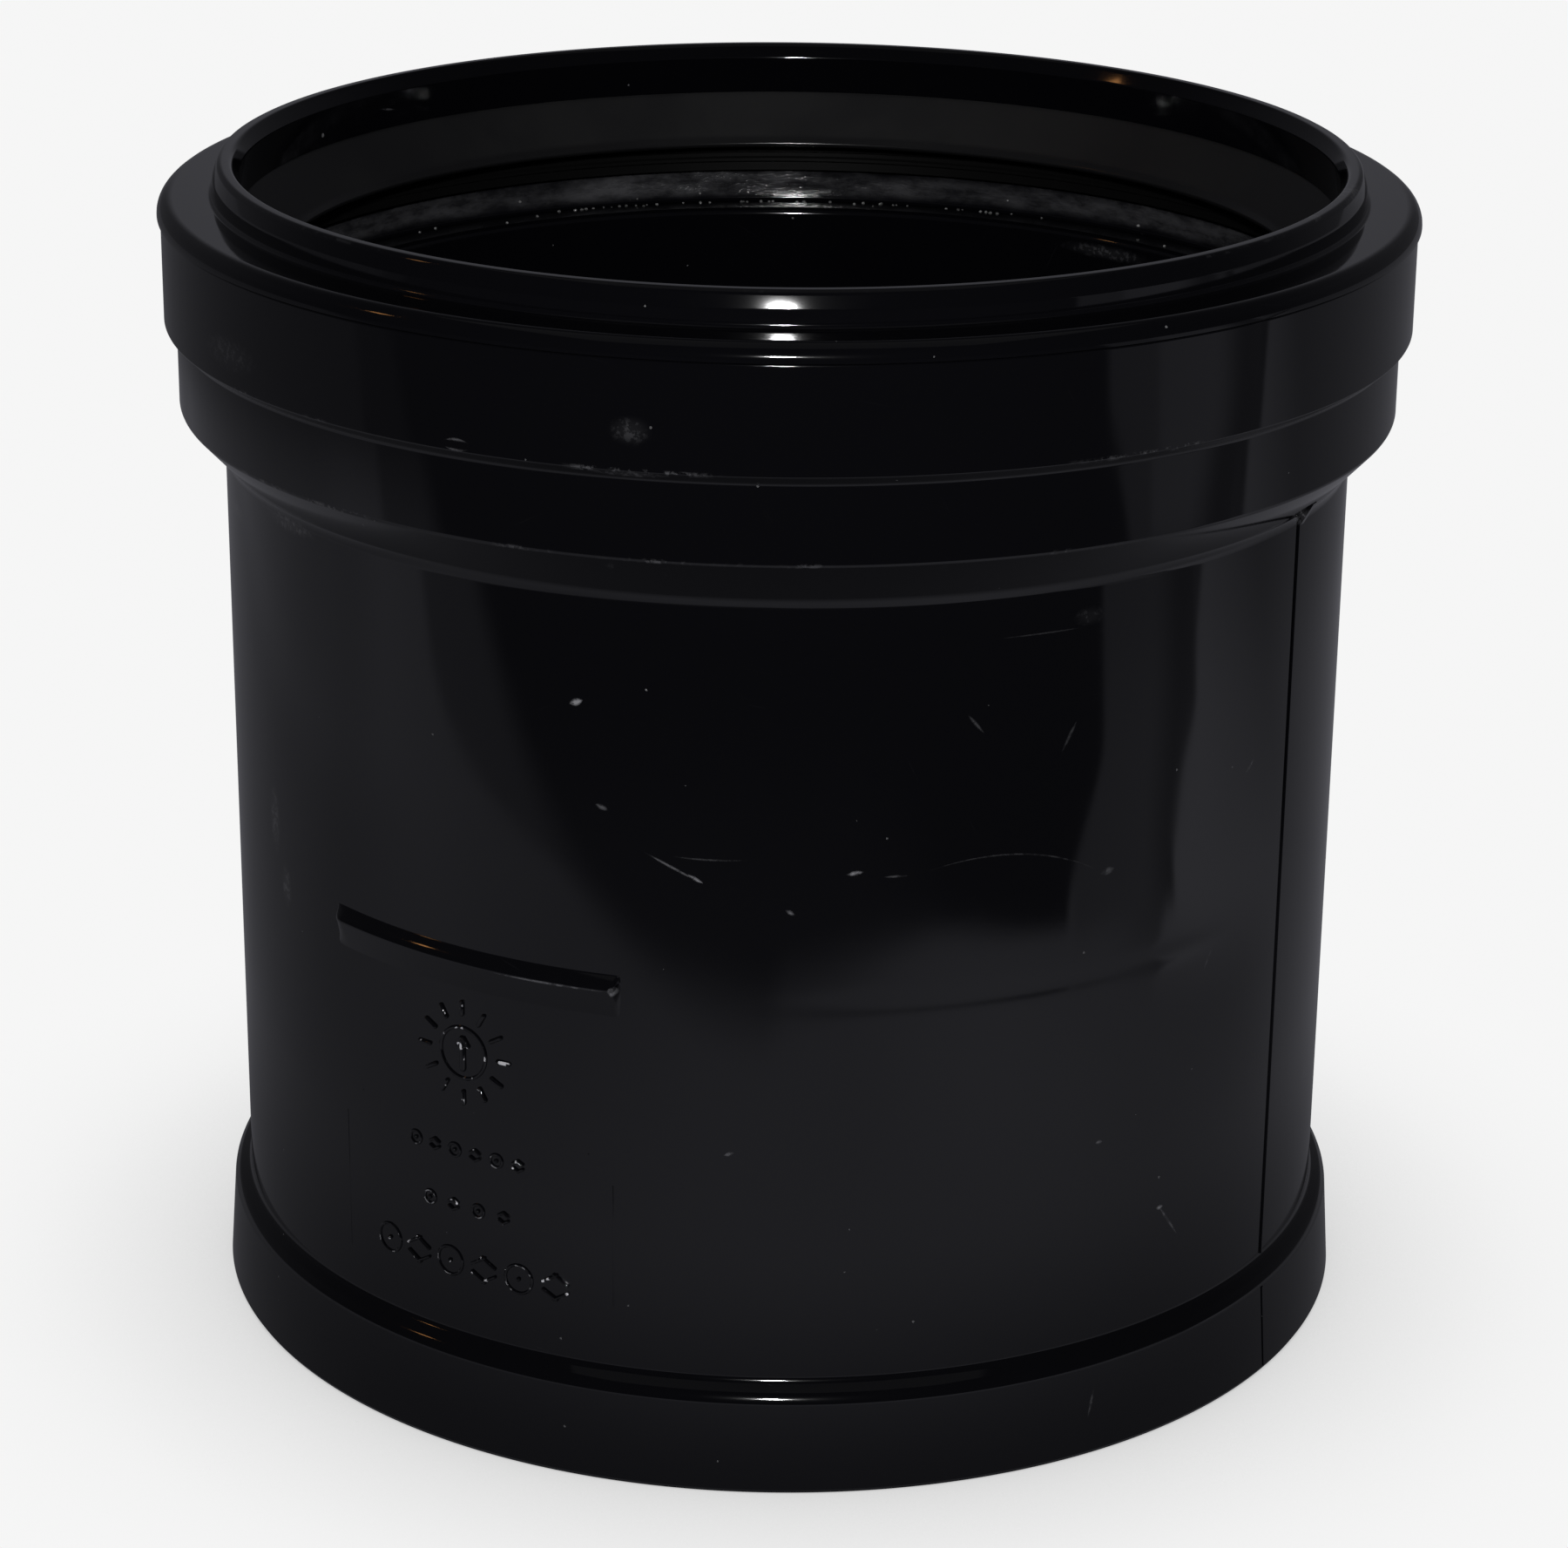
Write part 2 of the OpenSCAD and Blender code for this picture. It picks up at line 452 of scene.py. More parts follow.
def shell_corners(at):
    """Corners of the shell's section, from the foot up inside and down outside."""
    ring_out = bpy.context.scene.barrel_shell.ring_out
    snap_z = at.rim_z - 3.6 * MM
    return SimpleNamespace(
        lead=(at.bore_r + 0.8 * MM, 0),
        bore_low=(at.bore_r, 1.6 * MM),
        stop=[(at.bore_r, at.stop_z), (at.bore_r - 2.9 * MM, at.stop_z),
              (at.bore_r - 2.9 * MM, at.stop_z + at.stop_h),
              (at.bore_r, at.stop_z + at.stop_h + 1 * MM)],
        ledge=(at.bore_r, at.ledge_z),
        groove=[(at.groove_r, at.ledge_z), (at.groove_r, at.seat_z)],
        seat=[(at.seat_r, at.seat_z), (at.seat_r, snap_z), (at.seat_r + 0.4 * MM, snap_z + 0.4 * MM),
              (at.seat_r + 0.4 * MM, snap_z + 1.6 * MM), (at.seat_r, snap_z + 2 * MM),
              (at.seat_r, at.rim_z)],
        rim=(at.high_r, at.rim_z),
        band=(at.high_r, at.band_z + 0.18 * MM),
        band_under=(at.high_r - 0.2 * MM, at.band_z),
        step=(at.low_r, at.band_z - 0.8 * MM),
        low=(at.low_r, at.low_z),
        cone=(at.tube_r, at.cone_z),
        fillet=(at.foot_r, at.fillet_z),
        shoulder=(at.foot_r + ring_out * 0.8, at.ring_z),
        heel=(at.foot_r + ring_out + 0.25 * MM, 0.4 * MM),
        floor=(at.foot_r + ring_out, 0),
    )


def make_shell():
    """The shell, turned and rounded, with its marks joined on; returns it and its worn corners."""
    at = plan()
    c = shell_corners(at)
    outline = [c.lead, c.bore_low, *c.stop, c.ledge, *c.groove, *c.seat, c.rim, c.band,
               c.band_under, c.step, c.low, c.cone, c.fillet, c.shoulder, c.heel, c.floor]
    shell = turn("moulded_shell", outline)
    round_rings(shell, [c.ledge, c.cone, c.shoulder], 0.8 * MM)
    round_rings(shell, [c.fillet, c.groove[0]], 0.45 * MM)
    round_rings(shell, [c.low, c.step, c.rim], 0.25 * MM, 3)
    round_rings(shell, [c.band, c.band_under], 0.08 * MM, 3)
    bar = new_bar()
    flat = join(date_dial(bar) + blank_rows(bar) + insert_outline(bar) + [marking_rib()], "marks")
    wrap(flat, bpy.context.scene.barrel_marks.rib_dir)
    joined = [shell, flat, *parting_ridges(), gusset()]
    bpy.data.objects.remove(bar)
    shell = join(joined, "moulded_shell")
    smooth(shell)
    return shell, [c.band, c.band_under, c.low]


def make_seal():
    """The lip seal: a clamped flange, a heel with thin ribs, and the sloping lip."""
    at = plan()
    cap = bpy.context.scene.barrel_cap
    heel_out, heel_in = at.groove_r - 0.1 * MM, at.groove_r - 2.1 * MM
    heel_z, top = at.ledge_z + 4 * MM, at.rim_z - 0.1 * MM
    flange_r = at.seat_r - 0.2 * MM
    tip = (at.bore_r - cap.lip_in, at.rim_z - cap.lip_drop)
    ribs = []
    for index in range(3):
        low = heel_z + (0.9 + index * 1.1) * MM
        ribs += [(heel_in, low + 0.7 * MM), (heel_in - 0.25 * MM, low + 0.5 * MM),
                 (heel_in - 0.25 * MM, low + 0.2 * MM), (heel_in, low)]
    under = (tip[0] + 0.7 * MM, tip[1] - 0.5 * MM)
    root = (heel_in, at.rim_z - 2.4 * MM)
    outline = [(heel_in, heel_z), (heel_out, heel_z), (heel_out, at.seat_z), (flange_r, at.seat_z),
               (flange_r, at.seat_z + 0.8 * MM), (heel_out, at.seat_z + 0.8 * MM), (heel_out, top),
               (at.bore_r + 0.8 * MM, top), tip, under, root]
    outline += sorted(ribs, key=lambda corner: -corner[1])
    seal = turn("lip_seal", outline)
    round_rings(seal, [tip, under], 0.3 * MM, 4)
    round_rings(seal, [root], 0.6 * MM, 4)
    smooth(seal)
    return seal


def make_cap():
    """The cap: a drafted collar round the mouth, a flat annulus and a rounded skirt."""
    at = plan()
    cap = bpy.context.scene.barrel_cap
    spigot_in, spigot_out = at.groove_r + 0.2 * MM, at.seat_r - 0.4 * MM
    spigot_z, bead_z = at.seat_z + 0.9 * MM, at.rim_z - 2.6 * MM
    inner = (at.mouth_r, cap.top_z - 1.4 * MM)
    land_in = (at.mouth_r + 0.7 * MM, cap.top_z - 0.25 * MM)
    land = (at.mouth_r + 1.0 * MM, cap.top_z)
    outer = (at.collar_r - cap.collar_draft, cap.top_z)
    step = (at.collar_r - 0.1 * cap.collar_draft, at.annulus_z + 1.7 * MM)
    foot = (at.collar_r, at.annulus_z)
    edge = (cap.skirt_r, at.annulus_z)
    hem = (cap.skirt_r, at.rim_z + 0.12 * MM)
    outline = [(at.mouth_r, at.rim_z), inner, land_in, land, outer, step, foot, edge, hem,
               (cap.skirt_r - 0.3 * MM, at.rim_z), (spigot_out, at.rim_z),
               (spigot_out, bead_z + 0.6 * MM), (spigot_out + 0.2 * MM, bead_z + 0.3 * MM),
               (spigot_out + 0.2 * MM, bead_z - 0.3 * MM), (spigot_out, bead_z - 0.6 * MM),
               (spigot_out, spigot_z + 0.5 * MM), (spigot_out - 0.4 * MM, spigot_z),
               (spigot_in, spigot_z), (spigot_in, at.rim_z)]
    piece = turn("snap_cap", outline)
    round_rings(piece, [edge], 1.65 * MM, 9)
    round_rings(piece, [outer], 0.5 * MM, 4)
    round_rings(piece, [foot], 0.45 * MM, 4)
    round_rings(piece, [step], 0.15 * MM, 3)
    round_rings(piece, [inner, land_in, land], 0.14 * MM, 3)
    smooth(piece)
    return piece, [outer]


def make_plug():
    """The base plug: a shallow dish with a recessed panel and the stub of its gate below."""
    at = plan()
    cap = bpy.context.scene.barrel_cap
    out_r = at.bore_r - 0.1 * MM
    in_r = out_r - cap.plug_wall
    floor_z = cap.plug_lift + cap.plug_floor
    panel_r, panel_z = 0.72 * out_r, cap.plug_lift + 0.6 * MM
    outline = [(2.4 * MM, cap.plug_lift + 0.1 * MM), (3 * MM, panel_z), (panel_r, panel_z),
               (panel_r + 0.6 * MM, cap.plug_lift), (out_r - 0.8 * MM, cap.plug_lift),
               (out_r, cap.plug_lift + 0.8 * MM), (out_r, at.stop_z), (in_r, at.stop_z),
               (in_r, floor_z), (3 * MM, floor_z)]
    plug = turn("dished_plug", outline, closed=False)
    round_rings(plug, [(in_r, floor_z)], 2 * MM, 6)
    round_rings(plug, [(panel_r, panel_z), (panel_r + 0.6 * MM, cap.plug_lift)], 0.2 * MM, 3)
    smooth(plug)
    return plug, [(out_r, cap.plug_lift + 0.8 * MM)]


def make_beads():
    """Beads of grease and water: a row along the ledge at the back, and a few round the groove."""
    at = plan()
    chance = random.Random(11)
    start_clean()
    bpy.ops.mesh.primitive_ico_sphere_add(subdivisions=2, radius=1 * MM)
    drop = bpy.context.object
    beads = []
    for index in range(100):
        in_row = index < 44
        around = chance.uniform(-0.50, 0.42) if in_row else chance.uniform(-pi, pi)
        size = chance.uniform(0.10, 0.21)
        on_wall = not in_row and chance.random() < 0.5
        inwards = chance.uniform(0.85, 1.15) if in_row else chance.uniform(0.4, 3.2)
        radius = at.groove_r - (0.05 if on_wall else inwards) * MM
        height = at.ledge_z + (chance.uniform(0.5, 1.6) if on_wall else 0.03) * MM
        pick(drop)
        bpy.ops.object.duplicate()
        bead = bpy.context.object
        bead.scale = (size, size, size * chance.uniform(0.5, 1.0))
        bead.location = (radius * sin(around), radius * cos(around), height)
        beads.append(bead)
    bpy.data.objects.remove(drop)
    start_clean()
    for bead in beads:
        bead.select_set(True)
    bpy.context.view_layer.objects.active = beads[0]
    bpy.ops.object.transform_apply(location=True, rotation=True, scale=True)
    piece = join(beads, "grease_beads")
    bpy.ops.object.shade_smooth()
    return piece


# ------------------------------------------------------------------ node helpers


class Value:
    """A number that a node puts out, which can be summed, multiplied and divided as it is written."""

    def __init__(self, socket):
        self.socket = socket

    def __add__(self, other):
        return maths("ADD", self, other)

    def __sub__(self, other):
        return maths("SUBTRACT", self, other)

    def __mul__(self, other):
        return maths("MULTIPLY", self, other)

    def __truediv__(self, other):
        return maths("DIVIDE", self, other)

    def __radd__(self, other):
        return maths("ADD", other, self)

    def __rsub__(self, other):
        return maths("SUBTRACT", other, self)

    def __rmul__(self, other):
        return maths("MULTIPLY", other, self)

    def __rtruediv__(self, other):
        return maths("DIVIDE", other, self)


def feed(socket, value):
    """Links a value or an output to a socket, or sets the socket's own value."""
    if isinstance(value, Value):
        value = value.socket
    if isinstance(value, bpy.types.NodeSocket):
        socket.id_data.links.new(value, socket)
    elif value is not None:
        socket.default_value = value


def add(tree, kind, *values, **settings):
    """Adds a shader node, with its settings by name and its inputs in order."""
    node = tree.nodes.new("ShaderNode" + kind)
    for name, value in settings.items():
        setattr(node, name, value)
    for socket, value in zip(node.inputs, values):
        feed(socket, value)
    return node


def tree_of(*values):
    """The node tree that the first linked one of several values is in."""
    return next(value.socket.id_data for value in values if isinstance(value, Value))


def maths(operation, *values, clamp=False):
    """The result of a Math node."""
    node = add(tree_of(*values), "Math", *values, operation=operation, use_clamp=clamp)
    return Value(node.outputs[0])


def ramp(value, low, high, to_low=0.0, to_high=1.0):
    """A smooth step from one value to another."""
    node = add(tree_of(value), "MapRange", value, low, high, to_low, to_high,
               interpolation_type="SMOOTHSTEP")
    return Value(node.outputs[0])


def between(mask, first, second):
    """A number that goes from the first to the second by a mask."""
    node = add(tree_of(mask), "Mix", mask, None, first, second, data_type="FLOAT")
    return Value(node.outputs[0])


def blend(mask, first, second):
    """A colour that goes from the first to the second by a mask."""
    node = add(tree_of(mask), "Mix", data_type="RGBA")
    feed(node.inputs["Factor"], mask)
    feed(node.inputs["A"], first)
    feed(node.inputs["B"], second)
    return node.outputs["Result"]


def largest(values):
    """The largest of several values."""
    result = values[0]
    for value in values[1:]:
        result = maths("MAXIMUM", result, value)
    return result


def object_place(tree):
    """The piece's own coordinates."""
    return add(tree, "TexCoord").outputs["Object"]


def split(tree, vector):
    """The three parts of a vector, by axis."""
    node = add(tree, "SeparateXYZ", vector)
    return {axis: Value(node.outputs[axis]) for axis in "XYZ"}


def distance(tree, x, y):
    """How far the point at x and y is from the middle."""
    flat = add(tree, "CombineXYZ", x, y, 0.0).outputs[0]
    return Value(add(tree, "VectorMath", flat, operation="LENGTH").outputs["Value"])


def noise(tree, where, scale, detail=2.0, roughness=0.5):
    """A noise value."""
    node = add(tree, "TexNoise")
    feed(node.inputs["Vector"], where)
    feed(node.inputs["Scale"], scale)
    feed(node.inputs["Detail"], detail)
    feed(node.inputs["Roughness"], roughness)
    return Value(node.outputs["Fac"])


def group(name, inputs, outputs):
    """A new shader node group; returns its tree, its inputs by name and its output node."""
    tree = bpy.data.node_groups.new(name, "ShaderNodeTree")
    for label, default in inputs.items():
        socket = tree.interface.new_socket(label, in_out="INPUT", socket_type="NodeSocketFloat")
        socket.default_value = default
    for label in outputs:
        tree.interface.new_socket(label, in_out="OUTPUT", socket_type="NodeSocketFloat")
    ports = tree.nodes.new("NodeGroupInput").outputs
    return tree, {label: Value(ports[label]) for label in inputs}, tree.nodes.new("NodeGroupOutput")


def use(tree, name, **values):
    """Places a group in a tree; words in a value's name are joined by underscores."""
    node = tree.nodes.new("ShaderNodeGroup")
    node.node_tree = bpy.data.node_groups[name]
    for label, value in values.items():
        feed(node.inputs[label.replace("_", " ").capitalize()], value)
    return {socket.name: Value(socket) for socket in node.outputs}


def grey(value):
    """A neutral colour with its alpha."""
    return (value, value, value, 1)


# ------------------------------------------------------------------ shared effects


def make_round_place():
    """Where a point is on a round piece: degrees from the front, height and radius in mm."""
    tree, _, out = group("Round place", {}, ("Around", "Height", "Radius"))
    where = split(tree, object_place(tree))
    front = where["Y"] * -1
    around = maths("ARCTAN2", where["X"], front)
    square = maths("POWER", where["X"], 2) + maths("POWER", front, 2)
    feed(out.inputs["Around"], maths("DEGREES", around))
    feed(out.inputs["Height"], where["Z"] * TO_MM)
    feed(out.inputs["Radius"], maths("SQRT", square) * TO_MM)


def make_stroke():
    """One tapered stroke at a place, drawn for scratches and for the painted highlight along the
    rib's crest: its length, width and bow in mm, its tilt in degrees.
    """
    inputs = {"Around": 0, "Height": 0, "At around": 0, "At height": 50, "Length": 5,
              "Width": 0.2, "Tilt": 0, "Bow": 0, "Strength": 0.5}
    _, ports, out = group("Stroke", inputs, ("Mask",))
    x = (ports["Around"] - ports["At around"]) * MM_PER_DEGREE
    y = ports["Height"] - ports["At height"]
    tilt = maths("RADIANS", ports["Tilt"])
    cosine, sine = maths("COSINE", tilt), maths("SINE", tilt)
    along = x * cosine + y * sine
    aside = y * cosine - x * sine
    aside = maths("ABSOLUTE", aside - along * along * ports["Bow"])
    share = along / (ports["Length"] * 0.5)
    taper = maths("SUBTRACT", 1, share * share, clamp=True)
    spine = maths("SUBTRACT", taper, aside / ports["Width"], clamp=True)
    feed(out.inputs["Mask"], spine * ports["Strength"])


def make_hairlines():
    """Fine random rubbing marks, in patches, along three directions."""
    inputs = {"Around": 0, "Height": 0, "Amount": 0.5}
    tree, ports, out = group("Hairlines", inputs, ("Mask",))
    lines = []
    for tilt, seed in ((12, 3.0), (-31, 17.0), (64, 41.0)):
        wide = ports["Around"] + seed
        turned = add(tree, "VectorRotate",
                     add(tree, "CombineXYZ", wide, ports["Height"], 0.0).outputs[0],
                     rotation_type="Z_AXIS")
        turned.inputs["Angle"].default_value = radians(tilt)
        thin = add(tree, "VectorMath", turned.outputs[0], (0.10, 4.2, 1.0), operation="MULTIPLY")
        line = ramp(noise(tree, thin.outputs[0], 1.0, 2.0, 0.6), 0.7, 0.78)
        patch = add(tree, "CombineXYZ", ports["Around"], ports["Height"], seed).outputs[0]
        patch = ramp(noise(tree, patch, 0.06, 2.0, 0.6), 0.5, 0.68)
        lines.append(line * patch)
    feed(out.inputs["Mask"], largest(lines) * ports["Amount"])


def make_specks():
    """Small dots of dust: their spacing in mm, size as a share of it, and how many cells have one."""
    inputs = {"Spacing": 3, "Size": 0.06, "Share": 0.4}
    tree, ports, out = group("Specks", inputs, ("Mask",))
    cells = add(tree, "TexVoronoi")
    feed(cells.inputs["Vector"], object_place(tree))
    feed(cells.inputs["Scale"], TO_MM / ports["Spacing"])
    chance = [Value(part) for part in add(tree, "SeparateColor", cells.outputs["Color"]).outputs]
    size = ports["Size"] * ramp(chance[1], 0.0, 1.0, 0.4, 1.6)
    dot = maths("LESS_THAN", Value(cells.outputs["Distance"]), size)
    chosen = maths("LESS_THAN", chance[0], ports["Share"])
    feed(out.inputs["Mask"], dot * chosen)


def make_edge_wear():
    """Worn corner of a round piece: a thin broken line at a radius and a height in mm."""
    inputs = {"Radius": 0, "Height": 0, "At radius": 60, "At height": 50, "Reach": 0.3, "Amount": 0.6}
    tree, ports, out = group("Edge wear", inputs, ("Mask",))
    where = object_place(tree)
    aside = ports["Radius"] - ports["At radius"]
    above = ports["Height"] - ports["At height"]
    gap = distance(tree, aside, above)
    near = maths("SUBTRACT", 1, gap / ports["Reach"], clamp=True)
    fine = ramp(noise(tree, where, 900.0, 3.0, 0.7), 0.48, 0.62)
    wide = ramp(noise(tree, where, 60.0, 2.0, 0.6), 0.52, 0.66)
    mask = near * fine * wide
    feed(out.inputs["Mask"], mask * ports["Amount"])


def make_scuff_patch():
    """A soft rubbed patch at a place: its half width in degrees and half height in mm."""
    inputs = {"Around": 0, "Height": 0, "At around": 0, "At height": 50, "Long": 4, "Tall": 1,
              "Strength": 0.2}
    tree, ports, out = group("Scuff patch", inputs, ("Mask",))
    x = (ports["Around"] - ports["At around"]) / ports["Long"]
    y = (ports["Height"] - ports["At height"]) / ports["Tall"]
    inside = ramp(distance(tree, x, y), 1.2, 0.2)
    feed(out.inputs["Mask"], inside * ports["Strength"])


def make_ripple():
    """Height in mm of the slow waves and the fine peel that a moulded wall has."""
    tree, ports, out = group("Moulding ripple", {"Waves": 0.012, "Peel": 0.0006}, ("Height",))
    where = object_place(tree)
    waves = noise(tree, where, 38.0, 1.0, 0.4)
    short = noise(tree, where, 130.0, 1.0, 0.4) * 0.28
    waves = (waves + short) * ports["Waves"]
    peel = noise(tree, where, 1500.0, 2.0, 0.5) * ports["Peel"]
    feed(out.inputs["Height"], waves + peel)


def make_effects():
    """Builds every shared node group once."""
    make_round_place()
    make_stroke()
    make_hairlines()
    make_specks()
    make_edge_wear()
    make_scuff_patch()
    make_ripple()


# ------------------------------------------------------------------ materials


def new_material(name):
    """A material with a node tree that holds only its output and one Principled shader."""
    material = bpy.data.materials.new(name)
    material.use_nodes = True
    tree = material.node_tree
    tree.nodes.clear()
    shader = add(tree, "BsdfPrincipled")
    tree.links.new(shader.outputs[0], add(tree, "OutputMaterial").inputs["Surface"])
    return material, tree, shader


def bump(tree, shader, height, strength=1.0):
    """Turns a height in mm into the shader's normal."""
    node = add(tree, "Bump")
    node.inputs["Strength"].default_value = strength
    node.inputs["Distance"].default_value = MM
    feed(node.inputs["Height"], height)
    feed(shader.inputs["Normal"], node.outputs["Normal"])


def rgba(value):
    """A property's colour with its alpha."""
    return (*value, 1)


# Scratches on the shell, and a painted highlight along the rib's crest: direction in degrees from the
# front, height, length, width, tilt in degrees, bow, and strength
SHELL_SCRATCHES_AND_CREST_HIGHLIGHT = (
    (-19.7, 80.4, 1.5, 0.40, 20, 0, 1.6),
    (-10.4, 64.8, 6.4, 0.16, -26, 0, 0.45),
    (-8.2, 63.8, 1.8, 0.22, -28, 0, 1.00),
    (-6.8, 65.8, 7.6, 0.12, 0, 0.01, 0.20),
    (6.7, 64.6, 1.8, 0.26, 8, 0, 1.00),
    (10.6, 64.1, 2.4, 0.14, 0, 0, 0.25),
    (23.0, 65.1, 19.4, 0.11, -8, -0.0233, 0.16),
    (32.6, 61.7, 1.8, 0.45, 10, 0, 0.30),
    (18.0, 78.8, 2.8, 0.20, -50, 0, 0.22),
    (27.7, 76.3, 3.4, 0.22, 62, 0, 0.20),
    (24.5, 87.0, 9.5, 0.10, 0, 0, 0.12),
    (0.7, 60.7, 1.1, 0.24, -30, 0, 0.70),
    (52.4, 67.7, 2.0, 0.20, 40, 0.10, 0.35),
    (46.7, 48.9, 2.4, 0.20, 60, 0, 0.12),
    (-17.2, 70.2, 1.5, 0.30, -20, 0, 0.40),
    (-28.3, 106.2, 2.4, 0.16, 0, -0.14, 0.35),
    (-28.3, 105.2, 2.4, 0.16, 0, 0.14, 0.35),
    (31.5, 5.5, 3.2, 0.20, 76, 0, 0.25),
    (42.4, 21.8, 5.2, 0.20, -54, 0, 0.40),
    (41.1, 23.6, 1.0, 0.30, 0, 0, 1.00),
    (-4.9, 35.5, 1.1, 0.24, 20, 0, 0.50),
    (32.8, 33.0, 0.9, 0.26, 0, 0, 0.65),
    # The next two rows paint a highlight: a bright line along the rib's crest and a bright spot at
    # its right end.
    (-22.5, 51.8, 13.0, 0.16, 0, 0, 0.55),
    (-16.0, 51.8, 1.2, 0.50, 70, 0, 0.90),
    (118.0, 72.0, 4.0, 0.18, 35, 0, 0.30),
    (-155.0, 44.0, 5.0, 0.16, -40, 0.02, 0.30),
    (165.0, 28.0, 2.4, 0.22, 10, 0, 0.40),
)
CAP_SCRATCHES = (
    (62.0, 120.9, 3.0, 0.20, 8, 0, 0.30),
    (-128.0, 117.6, 2.6, 0.16, 10, 0, 0.25),
)

# Rubbed patches: direction in degrees, height, half width in degrees, half height in mm, strength
SHELL_SCUFFS = (
    (-12.8, 108.9, 1.7, 1.3, 0.14),
    (-13.0, 104.7, 3.2, 0.40, 0.30),
    (-57.0, 108.3, 4.5, 1.7, 0.09),
    (-73.0, 87.6, 3.2, 1.0, 0.30),
    (-57.0, 90.6, 5.0, 0.9, 0.22),
    (60.4, 91.4, 2.5, 0.8, 0.30),
    (29.5, 88.0, 1.6, 0.9, 0.09),
    (73.0, 27.0, 2.2, 1.0, 0.16),
    (-62.5, 58.0, 1.3, 3.6, 0.22),
    (-60.0, 51.5, 1.1, 2.2, 0.25),
    (140.0, 100.5, 6.0, 0.8, 0.16),
    (-118.0, 60.0, 3.0, 3.0, 0.08),
)
CAP_SCUFFS = (
    (74.0, 120.6, 4.0, 0.8, 0.30),
    (84.0, 116.5, 2.5, 0.9, 0.30),
)


def wear_and_highlight_marks(tree, place_of, corners, strokes, scuffs, edge):
    """Every worn corner, scratch, painted highlight stroke and rubbed patch of one piece as a single
    mask.
    """
    around, height = place_of["Around"], place_of["Height"]
    where = object_place(tree)
    broken = ramp(noise(tree, where, 900.0, 3.0, 0.7), 0.38, 0.58, 0.2, 1.0)
    flecks = ramp(noise(tree, where, 1500.0, 2.0, 0.7), 0.48, 0.62, 0.25, 1.0)
    lines, patches = [0.0], [0.0]
    for radius, level in corners:
        lines.append(use(
            tree, "Edge wear", radius=place_of["Radius"], height=height, at_radius=radius / MM,
            at_height=level / MM, reach=0.32, amount=edge)["Mask"])
    for at_around, at_height, long, wide, tilt, bow, strength in strokes:
        lines.append(use(
            tree, "Stroke", around=around, height=height, at_around=at_around, at_height=at_height,
            length=long, width=wide, tilt=tilt, bow=bow, strength=strength)["Mask"])
    for at_around, at_height, wide, tall, strength in scuffs:
        patches.append(use(
            tree, "Scuff patch", around=around, height=height, at_around=at_around,
            at_height=at_height, long=wide, tall=tall, strength=strength)["Mask"])
    torn_and_highlit = largest(lines) * broken
    rubbed = largest(patches) * flecks
    return maths("MAXIMUM", torn_and_highlit, rubbed, clamp=True)


def shell_plastic(name, colour_of, corners, strokes=(), scuffs=(), greased=False, edge=0.4,
                  hairline=0.35):
    """Glossy moulded plastic with worn corners, rubbing marks, dust and waves in its gloss; its
    strokes can also paint a highlight, and the greased shell has painted glints on its raised marks.
    """
    finish = bpy.context.scene.barrel_finish
    material, tree, shader = new_material(name)
    place_of = use(tree, "Round place")
    around, height = place_of["Around"], place_of["Height"]
    hair = use(tree, "Hairlines", around=around, height=height, amount=hairline)["Mask"]
    dust = use(tree, "Specks", spacing=6.5, size=0.026, share=0.35)["Mask"]
    fine_dust = use(tree, "Specks", spacing=3.1, size=0.028, share=0.40)["Mask"]
    dust = maths("MAXIMUM", dust, fine_dust * 0.6)
    # This mask also carries the painted highlight along the rib's crest.
    scuffed_and_highlit = wear_and_highlight_marks(tree, place_of, corners, strokes, scuffs, edge)
    base = blend(hair * 0.05, rgba(colour_of), rgba(finish.scuff_and_highlight))
    base = blend(scuffed_and_highlit, base, rgba(finish.scuff_and_highlight))
    base = blend(dust * 0.4, base, rgba(finish.dust))
    cloudy = noise(tree, object_place(tree), 60.0, 3.0, 0.6)
    rough = ramp(cloudy, 0.3, 0.7, 0.05, 0.085) + hair * 0.2
    rough = maths("ADD", rough, scuffed_and_highlit * 0.45, clamp=True)
    rough = maths("MAXIMUM", rough, dust * 0.6)
    relief = use(tree, "Moulding ripple", waves=0.012, peel=0.0004)["Height"]
    relief = relief - scuffed_and_highlit * 0.02 - hair * 0.001
    if greased:
        relief = relief - sink_mark(around, height)
        smear, lumps = grease_film(tree, place_of)
        base = blend(smear, base, rgba(finish.grease))
        rough = rough + smear * 0.25
        relief = relief + smear * lumps
        # Painted glints: the tips of the raised marks are drawn bright where the lamp's sparkle would
        # be.
        base = blend(painted_glint_spots(tree, place_of), base, rgba(finish.painted_glint))
    feed(shader.inputs["Base Color"], base)
    feed(shader.inputs["Roughness"], rough)
    shader.inputs["IOR"].default_value = 1.5
    bump(tree, shader, relief)
    return material


def painted_glint_spots(tree, place_of):
    """Painted glints: small bright spots on the tips of the raised marks, standing in for the lamp's
    sparkle.
    """
    at = plan()
    turned = bpy.context.scene.barrel_marks.rib_dir * 180 / pi
    rise = (at.tube_r - at.foot_r) / (at.cone_z - at.fillet_z)
    share = place_of["Height"] - at.fillet_z / MM
    wall = share * rise + at.foot_r / MM
    proud = place_of["Radius"] - wall
    high = ramp(proud, 0.13, 0.22) * ramp(proud, 0.6, 0.45)
    where = object_place(tree)
    spots = ramp(noise(tree, where, 1250.0, 1.0, 0.5), 0.6, 0.66)
    off = maths("ABSOLUTE", place_of["Around"] - turned)
    near = maths("LESS_THAN", off, 20.0) * maths("COMPARE", place_of["Height"], 31.5, 17.0)
    return high * spots * near


